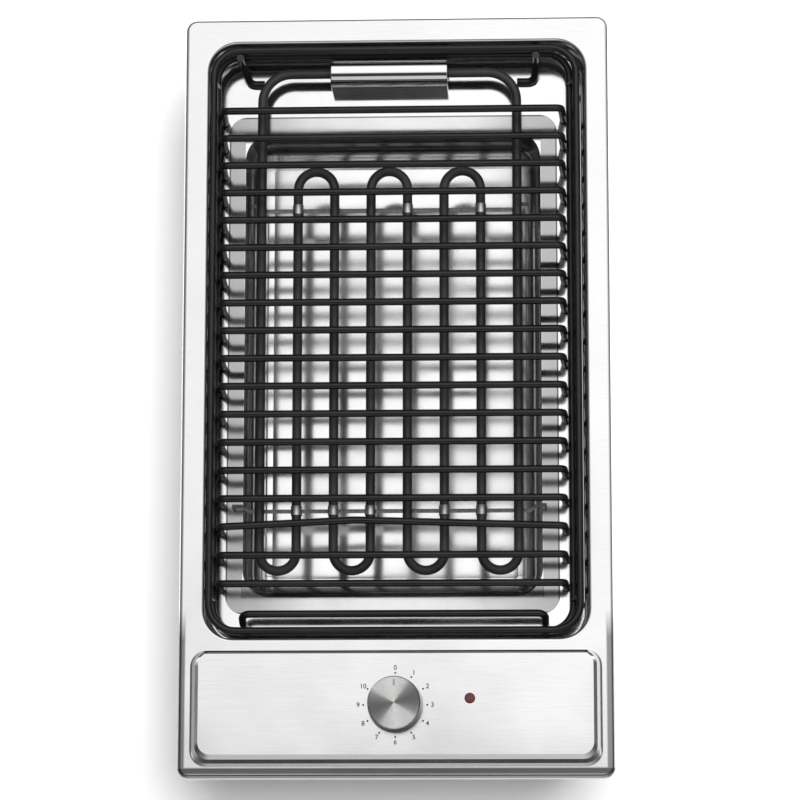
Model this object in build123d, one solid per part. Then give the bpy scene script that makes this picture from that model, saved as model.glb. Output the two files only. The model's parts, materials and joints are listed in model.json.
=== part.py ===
from build123d import *
import os

# Built-in lava stone grill for a worktop cut-out, in millimetres.
# X runs to the right, +Y to the rear and +Z up. The origin is the bottom centre of the casing.
# A pressed steel plate carries the control panel in front and a well behind it. In the well lie
# the stone tray, a heating element that tilts up about its rear run, and a wire grate.

# Plate
plate_width = 290.0
plate_length = 520.0
plate_rise = 7.0
plate_corner = 8.0
plate_edge = 2.8
plate_sheet = 1.0
casing_depth = 88.0

# Gaps between pieces that are fixed to each other, and between pieces that move
weld_gap = 0.02
running_gap = 0.05
seam_gap = 0.1
seat_gap = 0.3
cut_overrun = 1.0

# Opening in the plate and the well below it
opening_side_margin = 16.7
opening_rear_margin = 17.6
opening_corner = 19.6
opening_edge = 2.0
lip_depth = 6.0
well_sheet = 1.0
well_depth = 35.0
well_flange = 3.4
well_bend = 4.0

# Raised control panel, with its stepped border
panel_side_margin = 14.0
panel_length = 67.6
panel_front_margin = 16.0
panel_opening_gap = 9.7
panel_rise = 4.5
panel_corner = 8.0
border_side = 5.8
border_front = 7.8
border_rear = 1.8
border_corner = 11.0
step_start = 0.26
step_end = 0.60
step_rise = 0.46
step_slope = 0.08

# Foam seal under the rim
seal_width = 6.0
seal_inset = 3.0
seal_corner = 5.0

# Grate of enamelled wire
wire_diameter = 5.0
grate_side_gap = 1.7
grate_shift = -1.3
grate_rear_gap = 1.2
grate_front_gap = 3.0
frame_corner = 18.0
upper_frame_drop = 4.0
frame_spacing = 16.0
lower_frame_inset = 1.0
lower_frame_side_inset = 2.65
lower_frame_offset = -1.65
cross_wire_count = 18
first_wire_setback = 43.5
last_wire_setback = 31.2
wire_proud = 1.5
wire_bend = 4.0
wire_splay = 1.0
wire_end_gap = 2.0
bowed_wire = 15
bowed_wire_offset = 4.3
bowed_wire_peak = -28.0
bowed_wire_bend = 60.0
post_radius = 2.2
post_setback = 22.0
front_bar_inset = 20.0
front_bar_shift = 0.95
front_bar_drop = 5.0
front_bar_lean = 5.6
rear_foot_reach = 11.3
rear_foot_left_inset = 18.0
rear_foot_left_drift = 5.0
rear_foot_left_toe = 9.6
rear_foot_right_inset = 27.4
rear_foot_right_drift = 1.3
rear_foot_right_toe = 11.8
foot_bend = 5.0

# Heating element
tube_diameter = 6.5
element_shift = -5.5
leg_count = 8
element_side_gap = 25.8
element_height = 16.4
pivot_setback = 16.9
rear_bend = 20.0
front_turn_setback = 47.2
rear_turn_setback = 69.5
tube_end_reach = 24.0
pin_diameter = 2.6
pin_length = 12.0
end_seal_length = 5.0
end_seal_radius = 2.6

# Strips and clips that hold the element's legs together
strip_width = 2.6
strip_thickness = 1.2
strip_jog = 3.6
strip_tip = 7.0
strip_slope = 4.0
rear_strip_setback = 26.5
front_strip_setback = 40.9
rear_overhang = 8.0
front_tip_inset = 6.8
clip_length = 6.4
clip_sheet = 0.5
clip_slack = 0.05
rear_clip_legs = (1, 4, 6)
front_clip_legs = (1, 2, 3, 5, 6)

# Hinge block at the rear
block_width = 80.6
block_depth = 20.4
block_sheet = 1.0
block_edge = 0.8
slot_slack = 0.6
ear_thickness = 2.0
ear_inset = 3.0
ear_width = 15.0
bracket_sheet = 1.5
bush_length = 5.0
bush_radius = 5.2
hinge_screw_inset = 7.3
hinge_screw_length = 8.0
grommet_width = 11.0
grommet_depth = 7.0
grommet_corner = 3.0
grommet_collar = 1.5

# Stone tray
tray_side_gap = 15.0
tray_shift = -3.8
tray_front_gap = 19.8
tray_rear_gap = 43.3
tray_sheet = 0.8
tray_corner = 12.0
tray_rim = 11.4
tray_depth = 40.0
recess_corner = 19.0
recess_bottom = 17.0
tray_slack = 3.2

# Casing under the worktop
casing_side_margin = 20.0
casing_front_margin = 15.5
casing_rear_margin = 22.0
casing_sheet = 1.0
casing_corner = 4.0
casing_flange = 6.0
casing_return = 8.0
casing_tab_length = 40.0
cover_recess = 3.6
cover_slack = 0.3
cover_screw_inset = 4.5
cover_screw_margin = 24.0
shield_gap = 3.0
shield_sheet = 0.8
shield_top_gap = 2.0
vent_width = 3.0
vent_length = 34.0
vent_pitch = 14.0
vent_count = 11
vent_height = 24.0

# Knob and regulator
knob_x = 0.0
knob_setback = 32.5
knob_height = 21.0
knob_top_radius = 17.4
knob_base_radius = 18.4
knob_wall = 1.4
knob_clearance = 1.0
knob_chamfer = 0.6
pointer_width = 1.0
pointer_length = 3.6
pointer_depth = 0.3
pointer_margin = 2.4
hub_radius = 6.5
hub_clearance = 2.4
web_thickness = 2.0
shaft_radius = 3.0
shaft_flat = 2.0
shaft_depth = 14.0
spring_thickness = 0.4
spring_width = 4.4
shaft_bush_radius = 5.0
shaft_bush_proud = 1.5
regulator_width = 46.0
regulator_height = 34.0
regulator_chamfer = 2.5
regulator_screw_pitch = 26.0
regulator_screw_length = 8.0
tab_width = 6.3
tab_length = 9.0
tab_thickness = 0.8
tab_offset = 10.0

# Pilot lamp
lamp_x = 49.3
lamp_setback = 36.9
lamp_radius = 3.55
lamp_proud = 1.2
lamp_edge = 0.9
lamp_flange = 0.5
lamp_body_radius = 4.6
lamp_body_length = 22.0
lamp_nut_width = 14.0
lamp_nut_height = 2.0

# Mains terminals and cable entry
terminal_inset = 50.0
terminal_width = 44.0
terminal_length = 24.0
terminal_height = 19.0
terminal_pole_pitch = 13.0
terminal_recess = 3.0
terminal_chamfer = 0.8
gland_setback = 22.5
gland_height = 26.0
gland_radius = 9.5
gland_bore = 4.0
gland_neck = 7.0
gland_proud = 7.5
gland_inside = 8.0
gland_nut_width = 22.0
gland_nut_height = 4.5
earth_inset = 20.0
earth_setback = 14.5
stud_radius = 2.0
stud_length = 9.0
stud_nut_width = 7.0
stud_nut_height = 3.2

# Leads inside the casing
lead_radius = 1.5
lead_bend = 9.0
lead_lane_inset = 11.0
lead_drop = 15.5
lead_spacing = 4.2
lead_row = 8.0
supply_rise = 12.4
supply_offset = 8.0
lamp_lead_rise = 10.0
lamp_lead_offset = 6.0
lamp_lead_row = 2.2
lead_rise = 8.0
ring_reach = 15.0
ring_width = 1.6
ring_radius = 3.4
ring_lead_bend = 2.2
lead_hole_radius = 6.0

# Worktop clamps
clamp_front_setback = 104.5
clamp_rear_setback = 58.0
clamp_offset = 5.0
clamp_screw_radius = 2.0
clamp_screw_length = 42.0
clamp_screw_level = 8.0
clamp_top_drop = 40.0
claw_width = 8.0
claw_length = 26.0
claw_thickness = 2.0
claw_tip_rise = 6.0
claw_hub_height = 5.0
clamp_bracket_height = 14.0
clamp_bracket_width = 18.0
clamp_bracket_sheet = 1.5

# Small screws
screw_shank = 1.6
screw_head = 3.2
screw_head_height = 1.8
screw_slot = 0.7
cover_screw_length = 7.0

# Levels and places that follow from the sizes above
worktop_z = casing_depth
plate_top = worktop_z + plate_rise
plate_under = plate_top - plate_sheet
shelf_z = plate_top - well_depth
shelf_under = shelf_z - well_sheet
panel_width = plate_width - 2 * panel_side_margin
panel_front = -plate_length / 2 + panel_front_margin
panel_rear = panel_front + panel_length
panel_top = plate_top + panel_rise
panel_under = panel_top - plate_sheet
opening_width = plate_width - 2 * opening_side_margin
opening_rear = plate_length / 2 - opening_rear_margin
opening_front = panel_rear + panel_opening_gap
opening_length = opening_rear - opening_front
opening_middle = (opening_front + opening_rear) / 2
lip_width = opening_width + 2 * plate_sheet
lip_length = opening_length + 2 * plate_sheet
lip_corner = opening_corner + plate_sheet
well_width = lip_width + 2 * seam_gap
well_length = lip_length + 2 * seam_gap
well_corner = lip_corner + seam_gap
wire_radius = wire_diameter / 2
weld_reach = wire_diameter + weld_gap
upper_frame_z = plate_top - upper_frame_drop
lower_frame_z = upper_frame_z - frame_spacing
frame_half = opening_width / 2 - grate_side_gap - wire_radius
lower_frame_half = frame_half - lower_frame_side_inset
lower_frame_x = grate_shift + lower_frame_offset
frame_rear = opening_rear - grate_rear_gap - wire_radius
frame_front = opening_front + grate_front_gap + wire_radius
lower_frame_front = frame_front + lower_frame_inset
wire_run = frame_rear - frame_front - first_wire_setback - last_wire_setback
cross_wire_pitch = wire_run / (cross_wire_count - 1)
front_bar_z = upper_frame_z - front_bar_drop
cross_wire_z = plate_top + wire_proud - wire_radius
foot_z = shelf_z + seat_gap + wire_radius
tube_radius = tube_diameter / 2
pin_radius = pin_diameter / 2
pivot_y = opening_rear - pivot_setback
element_z = shelf_z + element_height
front_turn_y = opening_front + front_turn_setback
rear_turn_y = pivot_y - rear_turn_setback
rear_strip_y = rear_turn_y - rear_strip_setback
front_strip_y = front_turn_y + front_strip_setback
strip_top = element_z - tube_radius - clip_slack
strip_bottom = strip_top - strip_thickness
bush_place = block_width / 2 - block_sheet - ear_inset - ear_thickness / 2
hinge_screw_reach = bush_place - hinge_screw_inset
tray_width = opening_width - 2 * tray_side_gap
tray_length = opening_length - tray_front_gap - tray_rear_gap
tray_middle = opening_front + tray_front_gap + tray_length / 2
leg_pitch = (tray_width - 2 * element_side_gap) / (leg_count - 1)
leg_span = leg_pitch * (leg_count - 1)
rear_strip_reach = leg_span / 2 + rear_overhang
front_strip_reach = tray_width / 2 - front_tip_inset
tray_seat = shelf_z + seat_gap
tray_rim_top = tray_seat + tray_sheet
recess_width = tray_width - 2 * tray_rim
recess_length = tray_length - 2 * tray_rim
casing_width = plate_width - 2 * casing_side_margin
casing_front = -plate_length / 2 + casing_front_margin
casing_rear = plate_length / 2 - casing_rear_margin
casing_middle = (casing_front + casing_rear) / 2
casing_length = casing_rear - casing_front
casing_inside = casing_width / 2 - casing_sheet
shield_y = opening_front - plate_sheet - seam_gap - well_sheet - shield_gap
cover_top = cover_recess + casing_sheet
flange_top = cover_top + casing_sheet
knob_y = panel_front + knob_setback
knob_bottom = panel_top + knob_clearance
knob_top = knob_bottom + knob_height
web_top = knob_top - knob_wall
web_bottom = web_top - web_thickness
hub_bottom = knob_bottom + hub_clearance
regulator_bottom = panel_under - regulator_height
tab_bottom = regulator_bottom - tab_length
lamp_y = panel_front + lamp_setback
lamp_bottom = panel_under - lamp_body_length
terminal_x = casing_inside - terminal_inset
terminal_top = cover_top + terminal_height
gland_y = casing_front + gland_setback
earth_x = casing_inside - earth_inset
earth_y = casing_front + earth_setback
lead_lane = casing_inside - lead_lane_inset
lead_level = tab_bottom - lead_drop
supply_x = terminal_x - supply_offset
supply_level = terminal_top + supply_rise
lamp_lead_x = terminal_x + lamp_lead_offset
lamp_lead_level = supply_level + lamp_lead_rise
clamp_front_y = casing_front + clamp_front_setback
clamp_rear_y = casing_rear - clamp_rear_setback
claw_top = worktop_z - clamp_top_drop
claw_bottom = claw_top - claw_tip_rise - claw_thickness


def block(x_range, y_range, z_range):
    """A plain box between three pairs of limits."""
    size = [b - a for a, b in (x_range, y_range, z_range)]
    middle = [(a + b) / 2 for a, b in (x_range, y_range, z_range)]
    return Pos(*middle) * Box(*size)


def slab(width, length, corner, x, y, bottom, top):
    """A flat block with rounded upright edges."""
    outline = Pos(x, y, bottom) * RectangleRounded(width, length, corner)
    return extrude(outline, top - bottom)


def pillar(x, y, bottom, top, radius):
    """An upright round bar."""
    return extrude(Pos(x, y, bottom) * Circle(radius), top - bottom)


def straight_rod(start, end, radius):
    """Straight round wire from one point to another."""
    line = Line(start, end)
    section = Plane(origin=start, z_dir=line % 0) * Circle(radius)
    return extrude(section, line.length)


def bent_rod(points, bends, radius):
    """Round wire that runs straight between points and bends at each of them."""
    path = FilletPolyline(*points, radius=bends)
    section = Plane(origin=path @ 0, z_dir=path % 0) * Circle(radius)
    return sweep(section, path=path)


def ring_rod(width, length, corner, x, y, z, radius):
    """A closed rounded rectangle of round wire."""
    path = (Pos(x, y, z) * RectangleRounded(width, length, corner)).wire()
    section = Plane(origin=path @ 0, z_dir=path % 0) * Circle(radius)
    return sweep(section, path=path)


def pan_screw(length):
    """A slotted pan-head screw, its head's underside at the origin and its shank downwards."""
    body = pillar(0, 0, -length, 0, screw_shank) + pillar(0, 0, 0, screw_head_height, screw_head)
    slot_bottom = screw_head_height / 2
    slot = block(
        (-screw_head, screw_head), (-screw_slot / 2, screw_slot / 2), (slot_bottom, screw_head_height)
    )
    return body - slot


def hex_nut(across, bore, height):
    """A plain nut that stands on the origin."""
    outline = RegularPolygon(across / 2, 6) - Circle(bore)
    return extrude(outline, height)


def bottom_edges(solid):
    return solid.edges().group_by(Axis.Z)[0]


def top_edges(solid):
    return solid.edges().group_by(Axis.Z)[-1]


def leg_x(index):
    """The place across of one leg of the heating element, from the left."""
    return element_shift + (index - (leg_count - 1) / 2) * leg_pitch


def panel_section(share, z, inset):
    """The panel's outline on its way from the border's foot (0) to its flat top (1)."""
    half = panel_width / 2 + border_side * (1 - share) - inset
    front = panel_front - border_front * (1 - share) + inset
    rear = panel_rear + border_rear * (1 - share) - inset
    corner = border_corner + (panel_corner - border_corner) * share
    return Pos(0, (front + rear) / 2, z) * RectangleRounded(2 * half, rear - front, corner)


def panel_body(inset, drop):
    """The raised panel with its stepped border. The inset and drop give its hollow."""
    foot = plate_top - drop
    ledge = foot + panel_rise * step_rise
    ledge_end = ledge + panel_rise * step_slope
    sections = [
        panel_section(0, foot, inset),
        panel_section(step_start, ledge, inset),
        panel_section(step_end, ledge_end, inset),
        panel_section(1, panel_top - drop, inset),
    ]
    return loft(sections, ruled=True)


def is_opening_rim(edge):
    """True for the edges where the plate's top turns down into the opening."""
    middle = edge.center()
    at_top = abs(middle.Z - plate_top) < seam_gap
    across = abs(middle.X) < opening_width / 2 + seam_gap
    along = opening_front - seam_gap < middle.Y < opening_rear + seam_gap
    return at_top and across and along


def regulator_screw_places():
    half = regulator_screw_pitch / 2
    return [(knob_x - half, knob_y), (knob_x + half, knob_y)]


def hinge_screw_places():
    return [(element_shift - hinge_screw_reach, pivot_y), (element_shift + hinge_screw_reach, pivot_y)]


def cover_screw_places():
    across = casing_width / 2 - cover_screw_inset
    rows = (casing_front + cover_screw_margin, casing_middle, casing_rear - cover_screw_margin)
    return [(x, y) for x in (-across, across) for y in rows]


def make_top_plate():
    shell = slab(plate_width, plate_length, plate_corner, 0, 0, worktop_z, plate_top)
    shell = fillet(top_edges(shell), plate_edge)
    inner_width = plate_width - 2 * plate_sheet
    inner_length = plate_length - 2 * plate_sheet
    inner_corner = plate_corner - plate_sheet
    hollow = slab(
        inner_width, inner_length, inner_corner, 0, 0, worktop_z - cut_overrun, plate_under
    )
    shell = shell - fillet(top_edges(hollow), plate_edge - plate_sheet)
    shell = shell + panel_body(0, 0)
    shell = shell - panel_body(plate_sheet, plate_sheet)
    lip_top = plate_under + plate_sheet / 2
    lip_bottom = plate_top - lip_depth
    shell = shell + slab(lip_width, lip_length, lip_corner, 0, opening_middle, lip_bottom, lip_top)
    shell = shell - slab(
        opening_width,
        opening_length,
        opening_corner,
        0,
        opening_middle,
        worktop_z - cut_overrun,
        plate_top + cut_overrun,
    )
    shell = fillet(shell.edges().filter_by(is_opening_rim), opening_edge)
    above = panel_top + cut_overrun
    shell = shell - pillar(knob_x, knob_y, plate_top, above, shaft_bush_radius + seam_gap)
    shell = shell - pillar(lamp_x, lamp_y, plate_top, above, lamp_radius - lamp_flange)
    for x, y in regulator_screw_places():
        shell = shell - pillar(x, y, plate_top, above, screw_shank + seam_gap)
    return shell


def make_well_liner():
    """Bright well: a flange under the plate, walls, and the shelf with the tray's hole."""
    outer_width = well_width + 2 * well_sheet
    outer_length = well_length + 2 * well_sheet
    outer_corner = well_corner + well_sheet
    shell = slab(
        outer_width, outer_length, outer_corner, 0, opening_middle, shelf_under, plate_under
    )
    shell = fillet(bottom_edges(shell), well_bend + well_sheet)
    shell = shell + slab(
        outer_width + 2 * well_flange,
        outer_length + 2 * well_flange,
        outer_corner + well_flange,
        0,
        opening_middle,
        plate_under - well_sheet,
        plate_under,
    )
    hollow = slab(
        well_width, well_length, well_corner, 0, opening_middle, shelf_z, plate_under + cut_overrun
    )
    shell = shell - fillet(bottom_edges(hollow), well_bend)
    margin = tray_sheet + tray_slack
    shell = shell - slab(
        recess_width + 2 * margin,
        recess_length + 2 * margin,
        recess_corner + margin,
        tray_shift,
        tray_middle,
        0,
        plate_top,
    )
    shell = shell - grommet_core(seam_gap, 0, plate_top)
    for x, y in hinge_screw_places():
        shell = shell - pillar(x, y, 0, plate_top, screw_shank + seam_gap)
    return shell


def make_lava_tray():
    """A drawn tray with a flat rim and a deep recess that has a wide bottom radius."""
    floor = tray_rim_top - tray_depth
    rim = slab(tray_width, tray_length, tray_corner, tray_shift, tray_middle, tray_seat, tray_rim_top)
    outer = slab(
        recess_width + 2 * tray_sheet,
        recess_length + 2 * tray_sheet,
        recess_corner + tray_sheet,
        tray_shift,
        tray_middle,
        floor - tray_sheet,
        tray_rim_top,
    )
    outer = fillet(bottom_edges(outer), recess_bottom + tray_sheet)
    inner = slab(
        recess_width, recess_length, recess_corner, tray_shift, tray_middle, floor, tray_rim_top
    )
    inner = fillet(bottom_edges(inner), recess_bottom)
    return rim + outer - inner


def casing_outline(inset, bottom, top):
    """The casing's plan between two levels, drawn in by an inset."""
    width = casing_width - 2 * inset
    length = casing_length - 2 * inset
    return slab(width, length, casing_corner - inset, 0, casing_middle, bottom, top)


def flange_core(bottom, top):
    """The space inside the casing's flanges."""
    half = casing_width / 2 - casing_sheet - casing_flange
    front = casing_front + casing_sheet + casing_flange
    rear = casing_rear - casing_sheet - casing_flange
    return block((-half, half), (front, rear), (bottom, top))


def casing_shell():
    """Side walls with a taller bay round the controls, and flanges at the top and the bottom."""
    bay = block((-casing_width, casing_width), (-plate_length, shield_y), (0, plate_top))
    shell = casing_outline(0, 0, shelf_under) + (casing_outline(0, 0, plate_under) & bay)
    shell = shell - casing_outline(casing_sheet, 0, plate_top)
    top_flange = casing_outline(casing_sheet, shelf_under - casing_sheet, shelf_under)
    top_flange = top_flange - flange_core(0, plate_top) - bay
    bottom_flange = casing_outline(casing_sheet, cover_top, flange_top) - flange_core(0, plate_top)
    shell = shell + top_flange + bottom_flange
    tab_y = (knob_y - casing_tab_length / 2, knob_y + casing_tab_length / 2)
    outside = casing_width / 2
    for side in (-1, 1):
        wall_x = sorted((side * outside, side * casing_inside))
        fold_x = sorted((side * outside, side * (outside - casing_flange)))
        shell = shell + block(wall_x, tab_y, (flange_top, panel_under))
        shell = shell + block(fold_x, tab_y, (panel_under - casing_sheet, panel_under))
    for x, y in cover_screw_places():
        shell = shell - pillar(x, y, 0, flange_top, screw_shank + seam_gap)
    gland_hole = (casing_inside - cut_overrun, outside + cut_overrun)
    shell = shell - side_rod(*gland_hole, gland_neck + seam_gap)
    for index in range(vent_count):
        x = (index - (vent_count - 1) / 2) * vent_pitch
        vent_z = (flange_top + vent_width, flange_top + vent_width + vent_height)
        rear_y = (casing_rear - 2 * casing_sheet, casing_rear + cut_overrun)
        shell = shell - block((x - vent_width / 2, x + vent_width / 2), rear_y, vent_z)
    return shell


def write_casing_sheets():
    """Four folded sheets, spot-welded. The front and rear ones turn round the corners."""
    shell = casing_shell()
    front_cut = casing_front + casing_return
    rear_cut = casing_rear - casing_return
    across = (-casing_width, casing_width)
    along = (front_cut + weld_gap, rear_cut - weld_gap)
    height = (0, plate_top)
    write_part("casing_front", shell & block(across, (casing_front, front_cut), height))
    write_part("casing_rear", shell & block(across, (rear_cut, casing_rear), height))
    write_part("casing_left", shell & block((-casing_width, 0), along, height))
    write_part("casing_right", shell & block((0, casing_width), along, height))


def make_bottom_cover():
    """The flat cover that closes the casing from below, with two rows of vents."""
    inset = casing_sheet + cover_slack
    cover = casing_outline(inset, cover_recess, cover_top)
    for x, y in cover_screw_places():
        cover = cover - pillar(x, y, 0, cover_top, screw_shank + seam_gap)
    for side in (-1, 1):
        for index in range(vent_count):
            x = side * casing_width / 4
            y = casing_middle + (index - (vent_count - 1) / 2) * vent_pitch
            vent = slab(vent_length, vent_width, vent_width / 2 - seam_gap, x, y, 0, cover_top)
            cover = cover - vent
    return cover - pillar(earth_x, earth_y, 0, cover_top, stud_radius + seam_gap)


def make_cover_screws():
    upside_down = Rot(180, 0, 0) * pan_screw(cover_screw_length)
    return [Pos(x, y, cover_recess) * upside_down for x, y in cover_screw_places()]


def make_heat_shield():
    shield = block(
        (-casing_inside, casing_inside),
        (shield_y - shield_sheet, shield_y),
        (flange_top, plate_under - shield_top_gap),
    )
    hole_z = lead_level + lead_spacing / 2
    start = (-lead_lane, shield_y - shield_sheet - cut_overrun, hole_z)
    end = (-lead_lane, shield_y + cut_overrun, hole_z)
    return shield - straight_rod(start, end, lead_hole_radius)


def make_worktop_seal():
    outer_width = plate_width - 2 * seal_inset
    outer_length = plate_length - 2 * seal_inset
    inner_width = outer_width - 2 * seal_width
    inner_length = outer_length - 2 * seal_width
    ring = slab(outer_width, outer_length, seal_corner, 0, 0, worktop_z, plate_under)
    return ring - slab(inner_width, inner_length, seal_corner, 0, 0, worktop_z, plate_under)


def make_hinge_bracket():
    """Base on the shelf with an upright ear for each bush."""
    half = bush_place + ear_thickness / 2
    half_depth = ear_width / 2
    depth = (pivot_y - half_depth, pivot_y + half_depth)
    bracket = block(
        (element_shift - half, element_shift + half), depth, (shelf_z, shelf_z + bracket_sheet)
    )
    for side in (-1, 1):
        x = element_shift + side * bush_place
        ear_x = (x - ear_thickness / 2, x + ear_thickness / 2)
        start = (ear_x[0], pivot_y, element_z)
        end = (ear_x[1], pivot_y, element_z)
        bracket = bracket + block(ear_x, depth, (shelf_z, element_z))
        bracket = bracket + straight_rod(start, end, half_depth)
        bracket = bracket - straight_rod(start, end, bush_radius + weld_gap)
    bracket = bracket - grommet_core(seam_gap, shelf_under, shelf_z + 2 * bracket_sheet)
    for x, y in hinge_screw_places():
        bracket = bracket - pillar(x, y, 0, element_z, screw_shank + seam_gap)
    return bracket


def make_hinge_bushes():
    bushes = []
    for side in (-1, 1):
        x = element_shift + side * bush_place
        start = (x - bush_length / 2, pivot_y, element_z)
        end = (x + bush_length / 2, pivot_y, element_z)
        bush = straight_rod(start, end, bush_radius)
        bushes.append(bush - straight_rod(start, end, tube_radius + running_gap))
    return bushes


def block_form(half_width, radius, bottom):
    """Half a cylinder on the hinge axis with straight sides below it."""
    start = (element_shift - half_width, pivot_y, element_z)
    end = (element_shift + half_width, pivot_y, element_z)
    sides = block(
        (element_shift - half_width, element_shift + half_width),
        (pivot_y - radius, pivot_y + radius),
        (bottom, element_z),
    )
    below = block(
        (element_shift - block_width, element_shift + block_width),
        (pivot_y - 2 * radius, pivot_y + 2 * radius),
        (bottom - 2 * radius, bottom),
    )
    return straight_rod(start, end, radius) + sides - below


def make_block_cover():
    """Polished cover over the hinge, open below, with a slot at each end for the tube."""
    half = block_width / 2
    radius = block_depth / 2
    form = block_form(half, radius, shelf_z)
    end_edges = form.edges().group_by(Axis.X)[0] + form.edges().group_by(Axis.X)[-1]
    rounded = [edge for edge in end_edges if edge.center().Z > shelf_z + seam_gap]
    form = fillet(rounded, block_edge)
    form = form - block_form(half - block_sheet, radius - block_sheet, shelf_z)
    slot_radius = tube_radius + slot_slack
    slot_x = (element_shift - block_width, element_shift + block_width)
    slot = straight_rod((slot_x[0], pivot_y, element_z), (slot_x[1], pivot_y, element_z), slot_radius)
    slot = slot + block(slot_x, (pivot_y - slot_radius, pivot_y + slot_radius), (shelf_z, element_z))
    return form - slot


def make_hinge_screws():
    level = shelf_z + bracket_sheet
    return [Pos(x, y, level) * pan_screw(hinge_screw_length) for x, y in hinge_screw_places()]


def grommet_core(margin, bottom, top):
    """The grommet's neck, which is also the hole it sits in when given a margin."""
    return slab(
        grommet_width + 2 * margin,
        grommet_depth + 2 * margin,
        grommet_corner + margin,
        element_shift,
        pivot_y,
        bottom,
        top,
    )


def make_lead_grommet():
    top = shelf_z + bracket_sheet
    grommet = grommet_core(0, shelf_under - grommet_collar, top + grommet_collar)
    grommet = grommet + grommet_core(grommet_collar, top, top + grommet_collar)
    grommet = grommet + grommet_core(grommet_collar, shelf_under - grommet_collar, shelf_under)
    for side in (-1, 1):
        x = element_shift + side * lead_spacing / 2
        grommet = grommet - pillar(x, pivot_y, 0, plate_top, lead_radius + weld_gap)
    return grommet


def element_path():
    """One line from the left end in the hinge block, through eight legs, to the right end."""
    left = leg_x(0)
    right = leg_x(leg_count - 1)
    half_pitch = leg_pitch / 2
    front_centre = front_turn_y + half_pitch
    rear_centre = rear_turn_y - half_pitch
    z = element_z
    inner = rear_bend * (1 - 0.5**0.5)
    arc_left = (left + inner, pivot_y - inner, z)
    arc_right = (right - inner, pivot_y - inner, z)
    edges = [
        Line((element_shift - tube_end_reach, pivot_y, z), (left + rear_bend, pivot_y, z)),
        ThreePointArc((left + rear_bend, pivot_y, z), arc_left, (left, pivot_y - rear_bend, z)),
        Line((left, pivot_y - rear_bend, z), (left, front_centre, z)),
    ]
    for index in range(leg_count - 1):
        x = leg_x(index)
        next_x = leg_x(index + 1)
        middle_x = x + half_pitch
        if index % 2 == 0:
            edges.append(
                ThreePointArc((x, front_centre, z), (middle_x, front_turn_y, z), (next_x, front_centre, z))
            )
            if index < leg_count - 2:
                edges.append(Line((next_x, front_centre, z), (next_x, rear_centre, z)))
        else:
            edges.append(
                ThreePointArc((x, rear_centre, z), (middle_x, rear_turn_y, z), (next_x, rear_centre, z))
            )
            edges.append(Line((next_x, rear_centre, z), (next_x, front_centre, z)))
    edges.append(Line((right, front_centre, z), (right, pivot_y - rear_bend, z)))
    edges.append(
        ThreePointArc((right, pivot_y - rear_bend, z), arc_right, (right - rear_bend, pivot_y, z))
    )
    edges.append(Line((right - rear_bend, pivot_y, z), (element_shift + tube_end_reach, pivot_y, z)))
    return Wire([edge.edge() for edge in edges])


def make_heating_element():
    path = element_path()
    section = Plane(origin=path @ 0, z_dir=path % 0) * Circle(tube_radius)
    return sweep(section, path=path)


def axis_rod(start, end, radius):
    """A round bar on the hinge axis between two distances from the block's middle."""
    return straight_rod(
        (element_shift + start, pivot_y, element_z), (element_shift + end, pivot_y, element_z), radius
    )


def make_terminal_pins():
    far = tube_end_reach
    near = tube_end_reach - end_seal_length - pin_length
    return [axis_rod(-far, -near, pin_radius), axis_rod(near, far, pin_radius)]


def make_end_seals():
    far = tube_end_reach
    near = tube_end_reach - end_seal_length
    seals = []
    for start, end in ((-far, -near), (near, far)):
        seal = axis_rod(start, end, end_seal_radius)
        seals.append(seal - axis_rod(start, end, pin_radius + weld_gap))
    return seals


def strip_plan(y, reach):
    """Flat strip under all the legs, with its tips jogged to the rear."""
    across = [
        (-reach, strip_jog),
        (-reach + strip_tip, strip_jog),
        (-reach + strip_tip + strip_slope, 0),
        (reach - strip_tip - strip_slope, 0),
        (reach - strip_tip, strip_jog),
        (reach, strip_jog),
    ]
    half = strip_width / 2
    rear_side = [(element_shift + x, y + jog + half) for x, jog in across]
    front_side = [(element_shift + x, y + jog - half) for x, jog in reversed(across)]
    outline = make_face(Polyline(*rear_side, *front_side, close=True))
    return extrude(Pos(0, 0, strip_bottom) * outline, strip_thickness)


def make_rear_strip():
    return strip_plan(rear_strip_y, rear_strip_reach)


def make_front_strip():
    """This strip also has a short leg at each tip, which stands on the tray's rim."""
    strip = strip_plan(front_strip_y, front_strip_reach)
    y = front_strip_y + strip_jog
    leg_y = (y - strip_width / 2, y + strip_width / 2)
    leg_z = (tray_rim_top + seat_gap, strip_top)
    for side in (-1, 1):
        outer = element_shift + side * front_strip_reach
        inner = outer - side * strip_thickness
        strip = strip + block(sorted((inner, outer)), leg_y, leg_z)
    return strip


def clip_form(x, y, radius):
    """A tube's outline carried down past the strip."""
    half_length = clip_length / 2
    drop = radius - tube_radius
    form = straight_rod((x, y - half_length, element_z), (x, y + half_length, element_z), radius)
    return form + block(
        (x - radius, x + radius), (y - half_length, y + half_length), (strip_bottom - drop, element_z)
    )


def make_clip(x, y):
    """Sheet crimped round one leg and under the strip, which passes through its sides."""
    inner = tube_radius + clip_slack
    half = strip_width / 2 + clip_slack
    clip = clip_form(x, y, inner + clip_sheet) - clip_form(x, y, inner)
    passage = block(
        (x - leg_pitch / 2, x + leg_pitch / 2),
        (y - half, y + half),
        (strip_bottom - clip_slack, strip_top + clip_slack),
    )
    return clip - passage


def make_strip_clips():
    rear = [make_clip(leg_x(index), rear_strip_y) for index in rear_clip_legs]
    front = [make_clip(leg_x(index), front_strip_y) for index in front_clip_legs]
    return rear + front


def make_upper_frame():
    length = frame_rear - frame_front
    middle = (frame_rear + frame_front) / 2
    return ring_rod(
        2 * frame_half, length, frame_corner, grate_shift, middle, upper_frame_z, wire_radius
    )


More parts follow.
